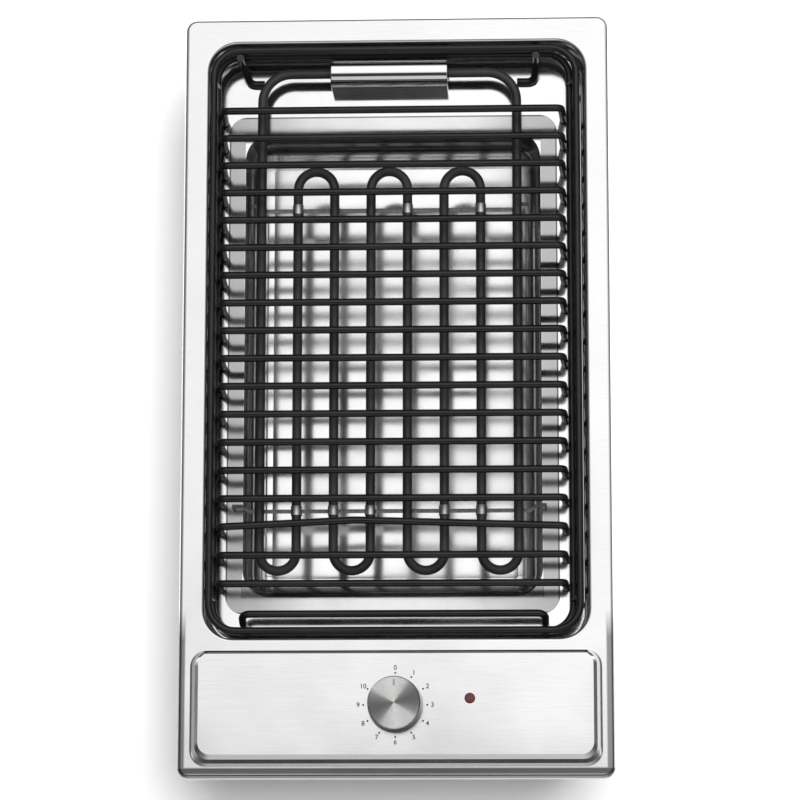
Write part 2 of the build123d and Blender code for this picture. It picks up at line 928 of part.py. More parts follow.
def make_lower_frame():
    length = frame_rear - lower_frame_front
    middle = (frame_rear + lower_frame_front) / 2
    corner = frame_corner - lower_frame_inset
    return ring_rod(
        2 * lower_frame_half, length, corner, lower_frame_x, middle, lower_frame_z, wire_radius
    )


def cross_wire(index):
    """One wire across the top, whose ends turn down inside the lower frame almost to the shelf."""
    y = frame_rear - first_wire_setback - index * cross_wire_pitch
    slope = wire_splay / (cross_wire_z - lower_frame_z)
    weld_half = lower_frame_half - weld_reach * (1 + slope**2) ** 0.5
    top_half = weld_half - wire_splay
    end_z = shelf_z + wire_end_gap
    end_half = weld_half + slope * (lower_frame_z - end_z)
    points = [
        (lower_frame_x - end_half, y, end_z),
        (lower_frame_x - top_half, y, cross_wire_z),
        (lower_frame_x + top_half, y, cross_wire_z),
        (lower_frame_x + end_half, y, end_z),
    ]
    bends = [wire_bend, wire_bend]
    if index == bowed_wire:
        points.insert(2, (bowed_wire_peak, y + bowed_wire_offset, cross_wire_z))
        bends.insert(1, bowed_wire_bend)
    return bent_rod(points, bends, wire_radius)


def make_cross_wires():
    return [cross_wire(index) for index in range(cross_wire_count)]


def make_frame_posts():
    """Short wires from the lower frame up to the upper one, cut to sit against both."""
    posts = []
    cut = wire_radius + weld_gap
    for side in (-1, 1):
        upper_x = grate_shift + side * frame_half
        lower_x = lower_frame_x + side * lower_frame_half
        for y in (frame_rear - post_setback, frame_front + post_setback):
            post = straight_rod((lower_x, y, lower_frame_z), (upper_x, y, upper_frame_z), post_radius)
            for x, z in ((upper_x, upper_frame_z), (lower_x, lower_frame_z)):
                post = post - straight_rod((x, y - cut, z), (x, y + cut, z), cut)
            posts.append(post)
    return posts


def make_front_support():
    """A bar across the front whose ends lean forward, pass the lower frame and stand upright."""
    weld_y = lower_frame_front + weld_reach
    bar_y = weld_y + front_bar_lean
    knee_z = lower_frame_z + wire_radius
    end_z = shelf_z + 2 * seat_gap
    half_span = lower_frame_half - front_bar_inset
    left = lower_frame_x + front_bar_shift - half_span
    right = lower_frame_x + front_bar_shift + half_span
    points = [
        (left, weld_y, end_z),
        (left, weld_y, knee_z),
        (left, bar_y, front_bar_z),
        (right, bar_y, front_bar_z),
        (right, weld_y, knee_z),
        (right, weld_y, end_z),
    ]
    return bent_rod(points, foot_bend, wire_radius)


def rear_foot(top_x, drift, toe):
    """A wire down from the rear of both frames, with a toe that lies on the shelf."""
    weld_y = frame_rear - weld_reach
    foot_y = weld_y - rear_foot_reach
    foot_x = top_x + drift
    points = [
        (top_x, weld_y, upper_frame_z),
        (top_x, weld_y, lower_frame_z),
        (foot_x, foot_y, foot_z),
        (foot_x + toe, foot_y, foot_z),
    ]
    return bent_rod(points, foot_bend, wire_radius)


def make_rear_feet():
    left_x = grate_shift - frame_half + rear_foot_left_inset
    right_x = grate_shift + frame_half - rear_foot_right_inset
    left = rear_foot(left_x, rear_foot_left_drift, rear_foot_left_toe)
    right = rear_foot(right_x, -rear_foot_right_drift, -rear_foot_right_toe)
    return [left, right]


def make_knob_cap():
    """Turned cap, a little narrower at the top, with a mark that points to the dial."""
    middle = (knob_bottom + knob_top) / 2
    cap = Pos(knob_x, knob_y, middle) * Cone(knob_base_radius, knob_top_radius, knob_height)
    cap = chamfer(top_edges(cap), knob_chamfer)
    hollow_height = knob_height - knob_wall
    hollow = Cone(knob_base_radius - knob_wall, knob_top_radius - knob_wall, hollow_height)
    cap = cap - Pos(knob_x, knob_y, knob_bottom + hollow_height / 2) * hollow
    mark_end = knob_y + knob_top_radius - pointer_margin
    mark = block(
        (knob_x - pointer_width / 2, knob_x + pointer_width / 2),
        (mark_end - pointer_length, mark_end),
        (knob_top - pointer_depth, knob_top),
    )
    return cap - mark


def shaft_section(radius, flat, bottom, top):
    """A round shaft with a flat on its rear side."""
    flat_cut = block(
        (knob_x - 2 * radius, knob_x + 2 * radius),
        (knob_y + flat, knob_y + 2 * radius),
        (bottom, top),
    )
    return pillar(knob_x, knob_y, bottom, top, radius) - flat_cut


def make_knob_core():
    core = pillar(knob_x, knob_y, hub_bottom, web_bottom, hub_radius)
    web_radius = knob_top_radius - knob_wall - seam_gap
    core = core + pillar(knob_x, knob_y, web_bottom, web_top, web_radius)
    core = core - shaft_section(
        shaft_radius + weld_gap, shaft_flat + weld_gap, hub_bottom, web_bottom
    )
    slot_half = spring_width / 2 + seam_gap
    slot = block(
        (knob_x - slot_half, knob_x + slot_half),
        (knob_y + shaft_flat, knob_y + shaft_flat + spring_thickness + 2 * seam_gap),
        (hub_bottom, web_bottom),
    )
    return core - slot


def make_knob_spring():
    start = knob_y + shaft_flat + seam_gap
    return block(
        (knob_x - spring_width / 2, knob_x + spring_width / 2),
        (start, start + spring_thickness),
        (hub_bottom, web_bottom),
    )


def make_regulator_shaft():
    lower = pillar(knob_x, knob_y, panel_under - shaft_depth, hub_bottom, shaft_radius)
    return lower + shaft_section(shaft_radius, shaft_flat, hub_bottom, web_bottom)


def make_energy_regulator():
    half = regulator_width / 2
    body = block(
        (knob_x - half, knob_x + half), (knob_y - half, knob_y + half), (regulator_bottom, panel_under)
    )
    body = chamfer(body.edges().filter_by(Axis.Z), regulator_chamfer)
    body = body + pillar(knob_x, knob_y, panel_under, panel_top + shaft_bush_proud, shaft_bush_radius)
    bore_bottom = panel_under - shaft_depth - seat_gap
    body = body - pillar(
        knob_x, knob_y, bore_bottom, panel_top + shaft_bush_proud, shaft_radius + running_gap
    )
    for x, y in regulator_screw_places():
        body = body - pillar(x, y, panel_top - regulator_screw_length, panel_under, screw_shank + weld_gap)
    return body


def make_regulator_screws():
    return [Pos(x, y, panel_top) * pan_screw(regulator_screw_length) for x, y in regulator_screw_places()]


def lead_rows():
    """The two rows of regulator tabs, front and rear."""
    return (knob_y - lead_row, knob_y + lead_row)


def make_regulator_tabs():
    tabs = []
    for x in (knob_x - tab_offset, knob_x + tab_offset):
        for y in lead_rows():
            tab = block(
                (x - tab_thickness / 2, x + tab_thickness / 2),
                (y - tab_width / 2, y + tab_width / 2),
                (tab_bottom, regulator_bottom),
            )
            tabs.append(tab)
    return tabs


def make_lamp_lens():
    """A low dome with a stem through the panel."""
    dome = pillar(lamp_x, lamp_y, panel_top, panel_top + lamp_proud, lamp_radius)
    dome = fillet(top_edges(dome), lamp_edge)
    stem = pillar(lamp_x, lamp_y, panel_under, panel_top, lamp_radius - lamp_flange - seam_gap)
    return dome + stem


def make_lamp_body():
    return pillar(lamp_x, lamp_y, lamp_bottom, panel_under, lamp_body_radius)


def make_lamp_nut():
    nut = hex_nut(lamp_nut_width, lamp_body_radius + weld_gap, lamp_nut_height)
    return Pos(lamp_x, lamp_y, panel_under - lamp_nut_height) * nut


def terminal_poles():
    return [terminal_x + step * terminal_pole_pitch for step in (-1, 0, 1)]


def make_terminal_block():
    half_width = terminal_width / 2
    half_length = terminal_length / 2
    body = block(
        (terminal_x - half_width, terminal_x + half_width),
        (knob_y - half_length, knob_y + half_length),
        (cover_top, terminal_top),
    )
    body = chamfer(body.edges().filter_by(Axis.Z), terminal_chamfer)
    for x in terminal_poles():
        body = body - pillar(x, knob_y, terminal_top - terminal_recess, terminal_top, screw_head + seam_gap)
        body = body - pillar(
            x, knob_y, terminal_top - terminal_recess - regulator_screw_length, terminal_top,
            screw_shank + weld_gap
        )
    return body


def make_terminal_screws():
    level = terminal_top - terminal_recess
    return [Pos(x, knob_y, level) * pan_screw(regulator_screw_length) for x in terminal_poles()]


def side_rod(start, end, radius):
    """A round bar along X at the cable entry."""
    return straight_rod((start, gland_y, gland_height), (end, gland_y, gland_height), radius)


def make_cable_gland():
    wall = casing_width / 2
    tip = wall + gland_proud
    inside = casing_inside - gland_inside
    gland = side_rod(wall, tip, gland_radius) + side_rod(inside, wall, gland_neck)
    return gland - side_rod(inside, tip, gland_bore)


def make_gland_nut():
    nut = hex_nut(gland_nut_width, gland_neck + weld_gap, gland_nut_height)
    return Pos(casing_inside - gland_nut_height, gland_y, gland_height) * Rot(0, 90, 0) * nut


def make_earth_stud():
    shank = pillar(earth_x, earth_y, cover_recess, cover_recess + stud_length, stud_radius)
    head_radius = stud_nut_width / 2
    return shank + pillar(earth_x, earth_y, cover_recess - screw_head_height, cover_recess, head_radius)


def make_earth_nut():
    nut = hex_nut(stud_nut_width, stud_radius + weld_gap, stud_nut_height)
    return Pos(earth_x, earth_y, cover_top) * nut


def make_element_leads():
    """Two leads from the regulator, along the left wall and up through the grommet."""
    leads = []
    rise = shelf_z + lead_rise
    for row, side in ((0, 1), (1, -1)):
        x = knob_x - tab_offset
        y = lead_rows()[row]
        z = lead_level + row * lead_spacing
        grommet_x = element_shift + side * lead_spacing / 2
        ring_x = element_shift + side * ring_reach
        points = [
            (x, y, tab_bottom),
            (x, y, z),
            (-lead_lane, y, z),
            (-lead_lane, pivot_y, z),
            (grommet_x, pivot_y, z),
            (grommet_x, pivot_y, rise),
            (ring_x, pivot_y, rise),
            (ring_x, pivot_y, element_z - ring_radius),
        ]
        bends = [lead_bend] * 4 + [ring_lead_bend] * 2
        leads.append(bent_rod(points, bends, lead_radius))
    return leads


def make_lead_rings():
    """Ring terminals on the leads, each with room for its pin to turn in."""
    rings = []
    for side in (-1, 1):
        start = side * ring_reach - ring_width / 2
        end = side * ring_reach + ring_width / 2
        ring = axis_rod(start, end, ring_radius)
        rings.append(ring - axis_rod(start, end, pin_radius + running_gap))
    return rings


def make_supply_leads():
    leads = []
    for y in lead_rows():
        points = [
            (supply_x, y, terminal_top),
            (supply_x, y, supply_level),
            (knob_x + tab_offset, y, supply_level),
            (knob_x + tab_offset, y, tab_bottom),
        ]
        leads.append(bent_rod(points, lead_bend, lead_radius))
    return leads


def make_lamp_leads():
    leads = []
    for side in (-1, 1):
        y = lamp_y + side * lamp_lead_row
        points = [
            (lamp_x, y, lamp_bottom),
            (lamp_x, y, lamp_lead_level),
            (lamp_lead_x, y, lamp_lead_level),
            (lamp_lead_x, y, terminal_top),
        ]
        leads.append(bent_rod(points, lead_bend, lead_radius))
    return leads


def clamp_places():
    """Name, side and place along the casing of each clamp."""
    return [
        ("front_left", -1, clamp_front_y),
        ("front_right", 1, clamp_front_y),
        ("rear_left", -1, clamp_rear_y),
        ("rear_right", 1, clamp_rear_y),
    ]


def make_clamp_brackets():
    """Channel brackets on the casing's sides, one for each clamp screw."""
    brackets = []
    half = clamp_bracket_width / 2
    wall = casing_width / 2
    far = wall + 2 * clamp_offset - clamp_bracket_sheet
    bottom = clamp_screw_level
    top = bottom + clamp_bracket_height
    for _, side, y in clamp_places():
        depth = (y - half, y + half)
        shelf_x = sorted((side * wall, side * far))
        back_x = sorted((side * wall, side * (wall + clamp_bracket_sheet)))
        bracket = block(back_x, depth, (bottom, top))
        bracket = bracket + block(shelf_x, depth, (bottom, bottom + clamp_bracket_sheet))
        bracket = bracket + block(shelf_x, depth, (top - clamp_bracket_sheet, top))
        hole_x = side * (wall + clamp_offset)
        brackets.append(bracket - pillar(hole_x, y, bottom, top, clamp_screw_radius + running_gap))
    return brackets


def make_clamp_screw(side, y):
    """A long screw with a slotted head below its bracket."""
    x = side * (casing_width / 2 + clamp_offset)
    bottom = clamp_screw_level
    screw = pillar(x, y, bottom, bottom + clamp_screw_length, clamp_screw_radius)
    head_bottom = bottom - seat_gap - screw_head_height
    screw = screw + pillar(x, y, head_bottom, bottom - seat_gap, screw_head)
    screw = screw + pillar(x, y, bottom - seat_gap, bottom, clamp_screw_radius)
    slot_x = (x - screw_head, x + screw_head)
    slot_y = (y - screw_slot / 2, y + screw_slot / 2)
    return screw - block(slot_x, slot_y, (head_bottom, head_bottom + screw_head_height / 2))


def make_clamp_claw(side, y):
    """A claw on its screw, folded along the casing and with its tip turned up."""
    x = side * (casing_width / 2 + clamp_offset)
    half = claw_width / 2
    inward = -1 if y > 0 else 1
    arm_y = sorted((y, y + inward * claw_length))
    tip_y = sorted((y + inward * claw_length, y + inward * (claw_length - claw_thickness)))
    arm_x = (x - half, x + half)
    claw = block(arm_x, arm_y, (claw_bottom, claw_bottom + claw_thickness))
    claw = claw + block(arm_x, tip_y, (claw_bottom, claw_top))
    claw = claw + pillar(x, y, claw_bottom, claw_bottom + claw_hub_height, half)
    return claw - pillar(x, y, claw_bottom, claw_top, clamp_screw_radius + weld_gap)


def write_part(name, shape):
    """One file for one node. A list is a group of separate solids."""
    if isinstance(shape, list):
        solids = [solid for piece in shape for solid in piece.solids()]
        shape = Compound(children=solids)
    export_step(shape, "parts/" + name + ".step")


def main():
    os.makedirs("parts", exist_ok=True)
    write_part("top_plate", make_top_plate())
    write_part("well_liner", make_well_liner())
    write_part("worktop_seal", make_worktop_seal())
    write_casing_sheets()
    write_part("bottom_cover", make_bottom_cover())
    write_part("cover_screws", make_cover_screws())
    write_part("heat_shield", make_heat_shield())
    write_part("clamp_brackets", make_clamp_brackets())
    write_part("lava_tray", make_lava_tray())
    write_part("hinge_bracket", make_hinge_bracket())
    write_part("hinge_bushes", make_hinge_bushes())
    write_part("hinge_screws", make_hinge_screws())
    write_part("hinge_block_cover", make_block_cover())
    write_part("lead_grommet", make_lead_grommet())
    write_part("heating_element", make_heating_element())
    write_part("terminal_pins", make_terminal_pins())
    write_part("tube_end_seals", make_end_seals())
    write_part("rear_support_strip", make_rear_strip())
    write_part("front_support_strip", make_front_strip())
    write_part("strip_clips", make_strip_clips())
    write_part("grate_upper_frame", make_upper_frame())
    write_part("grate_lower_frame", make_lower_frame())
    write_part("grate_cross_wires", make_cross_wires())
    write_part("grate_frame_posts", make_frame_posts())
    write_part("grate_front_support", make_front_support())
    write_part("grate_rear_feet", make_rear_feet())
    write_part("knob_cap", make_knob_cap())
    write_part("knob_core", make_knob_core())
    write_part("knob_spring", make_knob_spring())
    write_part("regulator_shaft", make_regulator_shaft())
    write_part("energy_regulator", make_energy_regulator())
    write_part("regulator_screws", make_regulator_screws())
    write_part("regulator_tabs", make_regulator_tabs())
    write_part("lamp_lens", make_lamp_lens())
    write_part("lamp_body", make_lamp_body())
    write_part("lamp_nut", make_lamp_nut())
    write_part("terminal_block", make_terminal_block())
    write_part("terminal_screws", make_terminal_screws())
    write_part("cable_gland", make_cable_gland())
    write_part("gland_nut", make_gland_nut())
    write_part("earth_stud", make_earth_stud())
    write_part("earth_nut", make_earth_nut())
    write_part("element_leads", make_element_leads())
    write_part("lead_rings", make_lead_rings())
    write_part("supply_leads", make_supply_leads())
    write_part("lamp_leads", make_lamp_leads())
    for name, side, y in clamp_places():
        write_part("clamp_screw_" + name, make_clamp_screw(side, y))
        write_part("clamp_claw_" + name, make_clamp_claw(side, y))


main()
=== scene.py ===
import json
import math

import bmesh
import bpy
from mathutils import Matrix, Vector


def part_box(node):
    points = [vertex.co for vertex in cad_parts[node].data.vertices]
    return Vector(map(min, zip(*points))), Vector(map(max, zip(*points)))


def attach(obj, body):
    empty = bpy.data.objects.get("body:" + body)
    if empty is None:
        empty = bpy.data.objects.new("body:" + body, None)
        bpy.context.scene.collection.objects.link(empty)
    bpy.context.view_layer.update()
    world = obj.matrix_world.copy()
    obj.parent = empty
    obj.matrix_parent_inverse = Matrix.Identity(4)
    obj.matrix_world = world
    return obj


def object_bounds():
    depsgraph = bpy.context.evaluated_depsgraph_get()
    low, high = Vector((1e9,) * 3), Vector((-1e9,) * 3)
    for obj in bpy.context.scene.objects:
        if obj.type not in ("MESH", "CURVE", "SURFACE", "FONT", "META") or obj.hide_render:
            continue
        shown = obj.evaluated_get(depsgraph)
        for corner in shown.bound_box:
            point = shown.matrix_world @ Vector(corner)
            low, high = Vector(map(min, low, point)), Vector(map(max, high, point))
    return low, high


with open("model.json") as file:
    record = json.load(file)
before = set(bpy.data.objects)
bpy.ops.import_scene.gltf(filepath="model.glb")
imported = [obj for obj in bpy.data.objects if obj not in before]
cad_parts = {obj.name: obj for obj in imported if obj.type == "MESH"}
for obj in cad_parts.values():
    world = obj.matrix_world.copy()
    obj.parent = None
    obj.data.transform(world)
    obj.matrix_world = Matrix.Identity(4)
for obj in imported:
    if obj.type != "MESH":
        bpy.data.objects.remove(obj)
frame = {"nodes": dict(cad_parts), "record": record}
cad_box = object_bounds()
nodes = frame["nodes"]
record = frame["record"]

# Everything is in metres, in the frame of the CAD model: X to the right, Y to the rear and Z up.
# The dial sits on the plate's panel, round the knob, and both are found from their own nodes.
MM = 0.001

# Camera, as fitted to the edges of the plate, the opening and the panel, and to the cross wires
CAMERA_PLACE = (0.0976, -0.3784, 2.2612)
CAMERA_RIGHT = (0.9991, 0.0009, -0.0436)
CAMERA_UP = (0.0065, 0.9856, 0.1690)
CAMERA_FORWARD = (-0.0431, 0.1691, -0.9847)
CAMERA_LENS = 147.2
CAMERA_SENSOR = 36.0

# Sky by direction, as pairs of place and brightness. The tilt runs from the front horizon at 0
# over the zenith at 0.5 to the rear horizon at 1, and the side from the left at 0 to the right.
SKY_STRENGTH = 1.22
SKY_BY_TILT = ((0.0, 0.34), (0.12, 0.50), (0.30, 0.52), (0.44, 0.62), (0.51, 0.95), (0.72, 1.0),
               (0.78, 0.16), (1.0, 0.03))
SKY_BY_SIDE = ((0.05, 0.08), (0.30, 0.35), (0.42, 0.82), (0.50, 1.0), (0.62, 0.9), (0.95, 0.12))

# Lamp for the floor and the paint, which the steel doesn't mirror
LAMP_PLACE = (0.35, 0.45, 1.9)
LAMP_TARGET = (0.0, 0.0, 0.09)
LAMP_SIZE = 1.8
LAMP_POWER = 58.0

# Dark card round the camera, seen only as a mirror image
CARD_PLACE = (0.0, -0.75, 2.24)
CARD_WIDTH = 1.6
CARD_DEPTH = 1.12
CARD_GREY = 0.06
CARD_ROUGH = 1.0
CARD_SHINE = 0.0

# Floor, a little under the casing
FLOOR_SIZE = 12.0
FLOOR_GAP = 0.3 * MM
FLOOR_GREY = 0.94
FLOOR_ROUGH = 0.9
FLOOR_SHINE = 0.1

# Noise gives the materials their fine grain and their larger clouds. Its values between start and
# end are used. Detail and unrest are the noise's own, bump is how strongly the grain shows as
# relief, and clouds is the fineness of the clouds.
NOISE_START = 0.3
NOISE_END = 0.7
METAL_DETAIL = 6.0
METAL_UNREST = 0.65
METAL_BUMP = 0.4
METAL_CLOUDS = 14.0
PLAIN_DETAIL = 5.0
PLAIN_UNREST = 0.6
PLAIN_BUMP = 0.5
PLAIN_CLOUDS = 30.0
CLOUD_DETAIL = 3.0
CLOUD_UNREST = 0.5

# Metals: the darkest and lightest colour, the range of roughness, the grain's stretch on each axis,
# its fineness and its depth. Anisotropy draws the mirrored light out, as turned rings do.
ACROSS = (0.02, 1.0, 1.0)
EVEN = (1.0, 1.0, 1.0)
METALS = {
    "plate_steel": dict(
        dark=(0.84, 0.84, 0.84), light=(0.92, 0.92, 0.92), rough=(0.14, 0.22),
        stretch=ACROSS, fineness=2600, depth=0.01 * MM,
    ),
    "well_steel": dict(
        dark=(0.86, 0.86, 0.87), light=(0.92, 0.92, 0.92), rough=(0.07, 0.14),
        stretch=EVEN, fineness=60, depth=0.04 * MM,
    ),
    "tray_steel": dict(
        dark=(0.88, 0.88, 0.89), light=(0.96, 0.96, 0.96), rough=(0.08, 0.20),
        stretch=EVEN, fineness=45, depth=0.05 * MM,
    ),
    "casing_steel": dict(
        dark=(0.50, 0.51, 0.52), light=(0.66, 0.67, 0.68), rough=(0.35, 0.5),
        stretch=EVEN, fineness=90, depth=0.02 * MM,
    ),
    "strip_steel": dict(
        dark=(0.12, 0.12, 0.12), light=(0.26, 0.26, 0.26), rough=(0.22, 0.34),
        stretch=EVEN, fineness=400, depth=0.03 * MM,
    ),
    "clip_steel": dict(
        dark=(0.66, 0.66, 0.66), light=(0.90, 0.90, 0.90), rough=(0.24, 0.38),
        stretch=EVEN, fineness=400, depth=0.03 * MM,
    ),
    "chrome": dict(
        dark=(0.90, 0.90, 0.91), light=(0.94, 0.94, 0.94), rough=(0.03, 0.06),
        stretch=ACROSS, fineness=900, depth=0.004 * MM,
    ),
    "knob_aluminium": dict(
        dark=(0.74, 0.74, 0.73), light=(0.84, 0.84, 0.83), rough=(0.24, 0.30),
        stretch=EVEN, fineness=500, depth=0.004 * MM, anisotropy=0.85,
    ),
    "zinc": dict(
        dark=(0.55, 0.56, 0.56), light=(0.72, 0.73, 0.72), rough=(0.28, 0.42),
        stretch=EVEN, fineness=500, depth=0.02 * MM,
    ),
    "brass": dict(
        dark=(0.62, 0.45, 0.19), light=(0.80, 0.63, 0.32), rough=(0.25, 0.4),
        stretch=EVEN, fineness=500, depth=0.02 * MM,
    ),
}

# Paint, plastic, rubber, foam and ceramic. Coat is the share of a clear glossy layer.
PLAINS = {
    "black_enamel": dict(
        dark=(0.003, 0.003, 0.003), light=(0.008, 0.008, 0.008), rough=(0.16, 0.26),
        fineness=700, depth=0.04 * MM,
    ),
    "element_black": dict(
        dark=(0.010, 0.010, 0.011), light=(0.024, 0.024, 0.024), rough=(0.34, 0.50),
        fineness=900, depth=0.03 * MM,
    ),
    "rubber": dict(
        dark=(0.02, 0.02, 0.02), light=(0.04, 0.04, 0.04), rough=(0.5, 0.7),
        fineness=1500, depth=0.02 * MM,
    ),
    "seal_foam": dict(
        dark=(0.05, 0.05, 0.05), light=(0.16, 0.16, 0.16), rough=(0.8, 1.0),
        fineness=2500, depth=0.1 * MM,
    ),
    "black_plastic": dict(
        dark=(0.018, 0.018, 0.018), light=(0.03, 0.03, 0.03), rough=(0.4, 0.55),
        fineness=1800, depth=0.03 * MM,
    ),
    "white_plastic": dict(
        dark=(0.74, 0.74, 0.71), light=(0.82, 0.82, 0.79), rough=(0.4, 0.5),
        fineness=1800, depth=0.02 * MM,
    ),
    "ceramic": dict(
        dark=(0.72, 0.69, 0.62), light=(0.84, 0.82, 0.76), rough=(0.45, 0.65),
        fineness=1200, depth=0.03 * MM,
    ),
    "lead_sleeve": dict(
        dark=(0.55, 0.53, 0.48), light=(0.80, 0.78, 0.72), rough=(0.7, 0.9),
        fineness=2200, depth=0.06 * MM,
    ),
    "lamp_red": dict(
        dark=(0.050, 0.005, 0.008), light=(0.085, 0.008, 0.012), rough=(0.12, 0.2),
        fineness=600, depth=0.01 * MM, coat=0.2,
    ),
}

# Painted reflection and shade on the stone tray: the rim's painted brightness by the share of the way
# from the tray's middle to its side, the painted dark line at its edge, and the painted shade on the
# front and rear walls below it
RIM_WIDTH = 11.4 * MM
RIM_BLEND = 0.8 * MM
RIM_PAINTED_LIGHT = ((0.0, 0.86), (0.5, 0.80), (0.8, 0.52), (1.0, 0.48))
EDGE_START = 0.6 * MM
EDGE_END = 1.3 * MM
EDGE_SHADE = 0.25
WALL_RUN = 6.4 * MM
WALL_SHADE = 0.34

# Outer side of the well's sheet, which is left dull and darkened with painted shade
OUTSIDE_BLEND = 0.1
OUTSIDE_SHADE = 0.55
OUTSIDE_ROUGH = 0.36

# Flange of the plate round the panel: painted reflection and shade, as brightness by the share of a
# span from the plate's edge. The sides fade out from start to end behind the plate's front edge.
FLANGE_SPAN = 11.0 * MM
FLANGE_FRONT = ((0.0, 0.62), (0.30, 0.50), (0.36, 0.18), (0.62, 0.15), (0.70, 0.80), (0.76, 1.0))
FLANGE_LEFT = ((0.0, 0.45), (0.10, 0.30), (0.38, 0.28), (0.48, 1.0))
FLANGE_RIGHT = ((0.0, 0.75), (0.14, 0.34), (0.42, 0.34), (0.52, 1.0))
FADE_START = 84.0 * MM
FADE_END = 112.0 * MM

# Painted shade as a dark line in the fold behind the panel, from the plate's front edge and clear of
# its sides
FOLD_PLACE = 83.9 * MM
FOLD_HALF = 1.0 * MM
FOLD_BLEND = 0.3 * MM
FOLD_MARGIN = 18.0 * MM
FOLD_SHADE = 0.12

# Painted reflection on the knob, as dull fans: their turn from the X axis, their number, and the
# painted brightness from between them to their middle
FAN_TURN = math.radians(13)
FAN_COUNT = 2.0
FAN_SHADE = ((0.0, 1.0), (0.42, 0.96), (0.68, 0.46), (1.0, 0.24))

# Painted shade in the groove of the pointer, from the knob's axis
POINTER_HALF = 0.6 * MM
POINTER_START = 11.2 * MM
POINTER_END = 15.2 * MM
POINTER_BLEND = 0.03 * MM
POINTER_SHADE = 0.55

# Dial. The digit share is the height of the font's digits as a share of its size.
DIAL_COUNT = 11
DIAL_STEP = math.radians(30)
DOT_CIRCLE = 21.2 * MM
DOT_RADIUS = 0.66 * MM
DOT_SEGMENTS = 24
DIGIT_CIRCLE = 24.6 * MM
DIGIT_HEIGHT = 3.1 * MM
DIGIT_SHARE = 0.7
DIGIT_BOLD = 0.07 * MM
PRINT_THICKNESS = 0.03 * MM


def shader_of(material):
    """A material's node tree and the shader in it."""
    tree = material.node_tree
    return tree, tree.nodes["Principled BSDF"]


def new_material(name):
    """A material with nothing in its node tree but the shader and its output."""
    material = bpy.data.materials.new(name)
    material.use_nodes = True
    tree, shader = shader_of(material)
    return material, tree, shader


def object_place(tree):
    """The place on the CAD model, in metres."""
    node = tree.nodes.new("ShaderNodeTexCoord")
    return node.outputs["Object"]


def axes_of(tree, vector):
    """The three outputs X, Y and Z of a vector."""
    node = tree.nodes.new("ShaderNodeSeparateXYZ")
    tree.links.new(vector, node.inputs[0])
    return node.outputs


def maths(tree, operation, first, second=0.0):
    """One sum; each side is a number or another node's output."""
    node = tree.nodes.new("ShaderNodeMath")
    node.operation = operation
    for socket, value in ((node.inputs[0], first), (node.inputs[1], second)):
        if isinstance(value, (int, float)):
            socket.default_value = value
        else:
            tree.links.new(value, socket)
    return node.outputs[0]


def noise(tree, stretch, fineness, detail, unrest):
    """Noise over the place, stretched by a scale on each axis."""
    mapping = tree.nodes.new("ShaderNodeMapping")
    mapping.inputs["Scale"].default_value = stretch
    tree.links.new(object_place(tree), mapping.inputs["Vector"])
    node = tree.nodes.new("ShaderNodeTexNoise")
    node.inputs["Scale"].default_value = fineness
    node.inputs["Detail"].default_value = detail
    node.inputs["Roughness"].default_value = unrest
    tree.links.new(mapping.outputs["Vector"], node.inputs["Vector"])
    return node.outputs["Fac"]


def spread(tree, value, low, high, start=NOISE_START, end=NOISE_END):
    """Goes from low to high as the value goes from start to end, and stays level outside them."""
    node = tree.nodes.new("ShaderNodeMapRange")
    node.inputs["From Min"].default_value = start
    node.inputs["From Max"].default_value = end
    node.inputs["To Min"].default_value = low
    node.inputs["To Max"].default_value = high
    tree.links.new(value, node.inputs["Value"])
    return node.outputs["Result"]


def from_middle(tree, value, start, end):
    """How far a value is beyond the middle of two limits."""
    return maths(tree, "SUBTRACT", value, (start + end) / 2)


def inset(tree, value, start, end):
    """How far a value lies inside the nearer of two limits."""
    away = maths(tree, "ABSOLUTE", from_middle(tree, value, start, end))
    return maths(tree, "SUBTRACT", (end - start) / 2, away)


def band(tree, value, start, end, blend, shade):
    """A share that is dark between two limits and 1 outside them."""
    half = (end - start) / 2
    away = maths(tree, "ABSOLUTE", from_middle(tree, value, start, end))
    return spread(tree, away, shade, 1.0, half, half + blend)


def ramp_of(tree, value, stops):
    """A grey ramp over a value, with stops of place and brightness."""
    node = tree.nodes.new("ShaderNodeValToRGB")
    tree.links.new(value, node.inputs[0])
    marks = node.color_ramp.elements
    first, last = stops[0], stops[-1]
    marks[0].position = first[0]
    marks[0].color = (first[1], first[1], first[1], 1)
    marks[1].position = last[0]
    marks[1].color = (last[1], last[1], last[1], 1)
    for place, brightness in stops[1:-1]:
        mark = marks.new(place)
        mark.color = (brightness, brightness, brightness, 1)
    return node.outputs["Color"]


def mix_colour(tree, share, dark, light):
    """A colour between two others, by a share."""
    node = tree.nodes.new("ShaderNodeMix")
    node.data_type = "RGBA"
    node.inputs["A"].default_value = (*dark, 1)
    node.inputs["B"].default_value = (*light, 1)
    tree.links.new(share, node.inputs["Factor"])
    return node.outputs["Result"]


def multiply(tree, first, second):
    """The product of two colours."""
    node = tree.nodes.new("ShaderNodeMix")
    node.data_type = "RGBA"
    node.blend_type = "MULTIPLY"
    node.inputs["Factor"].default_value = 1.0
    tree.links.new(first, node.inputs["A"])
    tree.links.new(second, node.inputs["B"])
    return node.outputs["Result"]


def scale_colour(tree, shader, share):
    """Darkens a shader's colour by a share."""
    source = shader.inputs["Base Color"].links[0].from_socket
    tree.links.new(multiply(tree, source, share), shader.inputs["Base Color"])


def bump(tree, shader, height, strength, depth):
    """Roughens a shader's surface by a height."""
    node = tree.nodes.new("ShaderNodeBump")
    node.inputs["Strength"].default_value = strength
    node.inputs["Distance"].default_value = depth
    tree.links.new(height, node.inputs["Height"])
    tree.links.new(node.outputs["Normal"], shader.inputs["Normal"])


